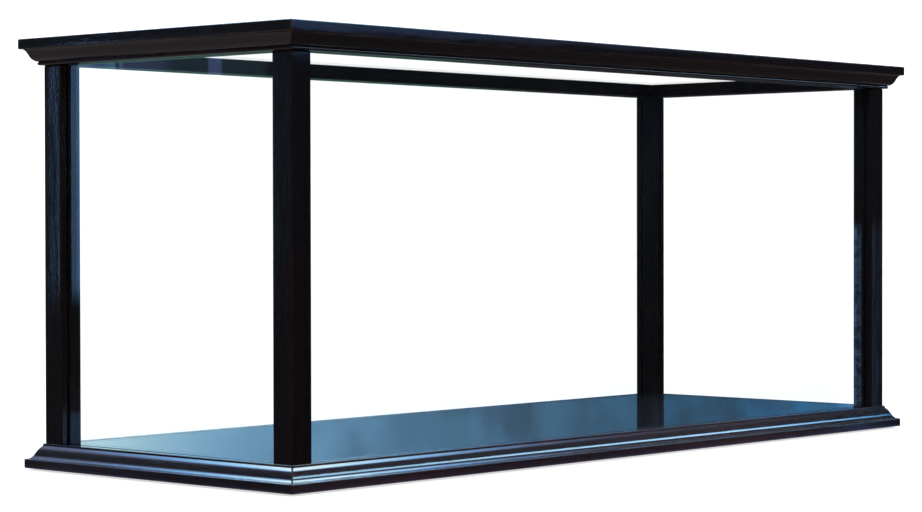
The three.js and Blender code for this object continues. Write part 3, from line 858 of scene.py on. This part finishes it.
def studio_world():
    """White to the camera, soft light to matt surfaces, and a painted room to mirrors."""
    world = bpy.data.worlds.new("studio")
    bpy.context.scene.world = world
    sky = Nodes(world)
    direction = sky.node("TexCoord").outputs["Generated"]
    x, y, z = sky.node("SeparateXYZ", {0: direction}).outputs
    # degrees: azimuth is 0 along +Y and 90 along +X
    azimuth = sky.math("MULTIPLY", sky.math("ARCTAN2", x, y), 180 / math.pi)
    elevation = sky.math("MULTIPLY", sky.math("ARCSINE", z), 180 / math.pi)

    def patch(across, up):
        """Mask from spans of azimuth and elevation, each (low, high, softness)."""
        return sky.math("MULTIPLY", sky.window(azimuth, across), sky.window(elevation, up))

    def masked(colour, mask):
        return sky.mix(mask, (0.0, 0.0, 0.0), colour)

    def dimmed(colour, tint):
        return sky.mix(dimmer, colour, sky.multiply(colour, tint))

    def noise_levels(scale, detail, rough, stops):
        return sky.grey(sky.noise_at(direction, scale, detail, rough), stops)

    mottle = noise_levels(scale=48.0, detail=6.0, rough=0.62,
                          stops=[(0.40, 0.12), (0.50, 0.60), (0.60, 1.0)])
    streaks = noise_levels(scale=420.0, detail=4.0, rough=0.6,
                           stops=[(0.40, 0.25), (0.52, 0.70), (0.62, 1.0)])
    dimmer = patch(across=(88, 200, 3), up=(-90, 39.2, 2.6))

    # the dim room, from floor to ceiling
    room = sky.gradient(elevation, top=1.0, stops=[
        (-90, (0.22, 0.21, 0.21)), (-22, (0.22, 0.20, 0.20)), (-14, (0.07, 0.07, 0.08)),
        (-2, (0.02, 0.025, 0.035)), (2, (0.03, 0.06, 0.09)), (14, (0.05, 0.07, 0.11)),
        (32, (0.07, 0.09, 0.14)), (50, (0.30, 0.38, 0.52)), (90, (0.75, 0.82, 0.92))])
    room = dimmed(room, (0.30, 0.28, 0.30))
    soffit = masked((0.05, 0.12, 0.10), patch(across=(30, 48.5, 2.0), up=(-9, -1.0, 1.0)))
    under_side = masked((-0.13, -0.13, -0.13), patch(across=(22, 74, 6), up=(-40, -16, 4)))

    # a bright band of sky, sinking towards negative azimuth
    leftward = sky.math("MAXIMUM", sky.math("MULTIPLY", azimuth, -1.0), 0.0)
    sunk = sky.math("ADD", elevation, sky.math("MULTIPLY", leftward, 0.06))
    band = sky.gradient(sunk, top=13.0, stops=[
        (33, (0.0, 0.0, 0.0)), (36, (0.30, 0.36, 0.55)), (38, (0.45, 0.50, 1.00)),
        (39.5, (0.66, 0.84, 1.8)), (40.5, (0.9, 1.9, 3.9)), (41.5, (1.4, 3.3, 6.3)),
        (42.3, (2.3, 5.2, 8.7)), (43.0, (3.7, 7.1, 10.3)), (43.7, (6.2, 9.3, 11.4)),
        (44.4, (9.2, 11.8, 12.4)), (48.5, (9.6, 12.0, 12.6)), (52, (0.6, 0.9, 1.4)),
        (56, (0.0, 0.0, 0.0))])
    blue = sky.mix(sky.window(azimuth, span=(12, 80, 7)), (1.0, 1.0, 1.0), (0.30, 0.52, 0.86))
    band = masked(sky.multiply(band, blue), sky.window(azimuth, span=(-27, 110.5, 2.5)))
    band = dimmed(band, (0.25, 0.20, 0.20))

    # a slanting bright line that fades in along the azimuth
    slant = sky.math("ADD", elevation, sky.math("MULTIPLY", azimuth, -0.69))
    tail = sky.map_range(azimuth, low=113.0, high=117.5)
    line = sky.gradient(azimuth, top=15.6, stops=[
        (113.5, (0.8, 5.2, 12.5)), (114.4, (1.0, 5.8, 14.0)), (115.6, (3.2, 8.3, 15.6)),
        (117.3, (5.2, 9.4, 13.0))])
    line = masked(line, sky.math(
        "MULTIPLY", sky.window(slant, span=(-62.0, -55.25, 0.45)),
        sky.math("MULTIPLY", tail, sky.window(azimuth, span=(90, 140, 3)))))

    # a low glow, mottled towards higher azimuth
    horizon = sky.gradient(azimuth, top=1.4, stops=[
        (36, (0.85, 1.18, 1.28)), (39.9, (0.76, 1.06, 1.15)), (41.1, (0.47, 0.75, 0.90)),
        (42.2, (0.30, 0.57, 0.78)), (43.4, (0.20, 0.44, 0.66)), (47, (0.07, 0.18, 0.30)),
        (51, (0.02, 0.08, 0.145)), (54, (0.006, 0.075, 0.17)), (55.4, (0.012, 0.14, 0.34)),
        (56.1, (0.008, 0.085, 0.20)), (57, (0.01, 0.13, 0.33)), (62, (0.04, 0.12, 0.25))])
    mottled = sky.multiply(sky.multiply(horizon, (1.5, 1.5, 1.5)), mottle)
    to_mottled = sky.map_range(azimuth, low=42, high=52, kind="LINEAR")
    horizon = masked(sky.mix(to_mottled, horizon, mottled),
                     patch(across=(18, 66, 6), up=(1.0, 17, 1.2)))
    fascia = sky.gradient(azimuth, top=1.5, stops=[
        (122, (0.02, 0.02, 0.03)), (127, (0.08, 0.09, 0.16)), (130, (0.16, 0.22, 0.46)),
        (133, (0.2, 0.36, 0.75)), (136, (0.24, 0.50, 1.15)), (150, (0.3, 0.6, 1.5))])
    fascia = masked(fascia, patch(across=(120, 150, 4), up=(3.85, 14, 0.14)))

    # a window with its bars, mirrored by the pane of the left side
    pane_sky = sky.gradient(sky.math("MULTIPLY", azimuth, -1.0), top=1.80, stops=[
        (39.36, (0.0, 0.0, 0.0)), (39.42, (0.46, 0.98, 1.80)), (39.6, (0.44, 0.94, 1.80)),
        (40.1, (0.27, 0.46, 1.10)), (40.44, (0.46, 1.05, 1.60)), (40.49, (0.10, 0.20, 0.30)),
        (40.53, (0.10, 0.20, 0.30)), (40.57, (0.50, 0.80, 1.80)), (40.66, (0.22, 0.32, 0.66)),
        (41.4, (0.22, 0.27, 0.60)), (41.8, (0.07, 0.14, 0.19)), (42.48, (0.07, 0.14, 0.19)),
        (42.53, (0.37, 0.52, 1.15)), (42.77, (0.37, 0.52, 1.15)), (42.83, (0.07, 0.14, 0.19)),
        (43.7, (0.06, 0.12, 0.16)), (43.85, (0.0, 0.0, 0.0))])
    pane_sky = masked(pane_sky, sky.math(
        "MULTIPLY", sky.window(elevation, span=(-1.65, 40, 0.35)),
        sky.window(elevation, span=(-40, 3.66, 0.07))))
    # a narrow streaked upright just below the horizon
    front_sky = sky.gradient(azimuth, top=1.10, stops=[
        (122.3, (0.0, 0.0, 0.0)), (122.5, (0.05, 0.10, 0.21)), (122.88, (0.06, 0.11, 0.24)),
        (122.98, (0.30, 0.56, 1.10)), (123.40, (0.30, 0.56, 1.10)), (123.6, (0.0, 0.0, 0.0))])
    front_sky = masked(front_sky, sky.window(elevation, span=(-5.2, -0.17, 0.10)))
    front_sky = sky.multiply(front_sky, streaks)

    colour = room
    for part in (soffit, under_side, band, line, horizon, fascia, pane_sky, front_sky):
        colour = sky.mix(1.0, colour, part, "ADD")
    mirrored = sky.node("Background", {"Color": colour, "Strength": 1.0})
    seen = sky.node("Background", {"Color": (1, 1, 1), "Strength": 1.35})
    soft = sky.node("Background", {"Color": (0.96, 0.98, 1), "Strength": 0.9})
    ray = sky.node("LightPath").outputs
    lit = sky.mix_shader(ray["Is Glossy Ray"], soft, mirrored)
    sky.output(sky.mix_shader(ray["Is Camera Ray"], lit, seen), "OutputWorld")


stage_floor()
foot_light()
studio_world()

# ---------------------------------------------------------------- camera
YAW, PITCH, ROLL = math.radians(48.10773), math.radians(-0.83300), math.radians(-0.10390)
scene = bpy.context.scene
camera = link("camera", bpy.data.cameras.new("camera"))
camera.data.sensor_width = 36.0
camera.data.lens = 100.345119
forward = Vector((math.sin(YAW) * math.cos(PITCH), math.cos(YAW) * math.cos(PITCH),
                  math.sin(PITCH)))
level = Vector((math.cos(YAW), -math.sin(YAW), 0.0))
upright = level.cross(forward)
right = level * math.cos(ROLL) + upright * math.sin(ROLL)
up = -level * math.sin(ROLL) + upright * math.cos(ROLL)
camera.rotation_mode = "QUATERNION"
camera.rotation_quaternion = Matrix((right, up, -forward)).transposed().to_quaternion()
# the height was set out for a ledge at 20.6 mm and follows it
camera.location = (-1.8286, -1.5899, 0.2134 + (Z_LEDGE - 20.6) / 1000.0)
camera.data.clip_start, camera.data.clip_end = 0.05, 60.0
scene.camera = camera
scene.view_settings.view_transform = "Standard"
scene.view_settings.look = "None"
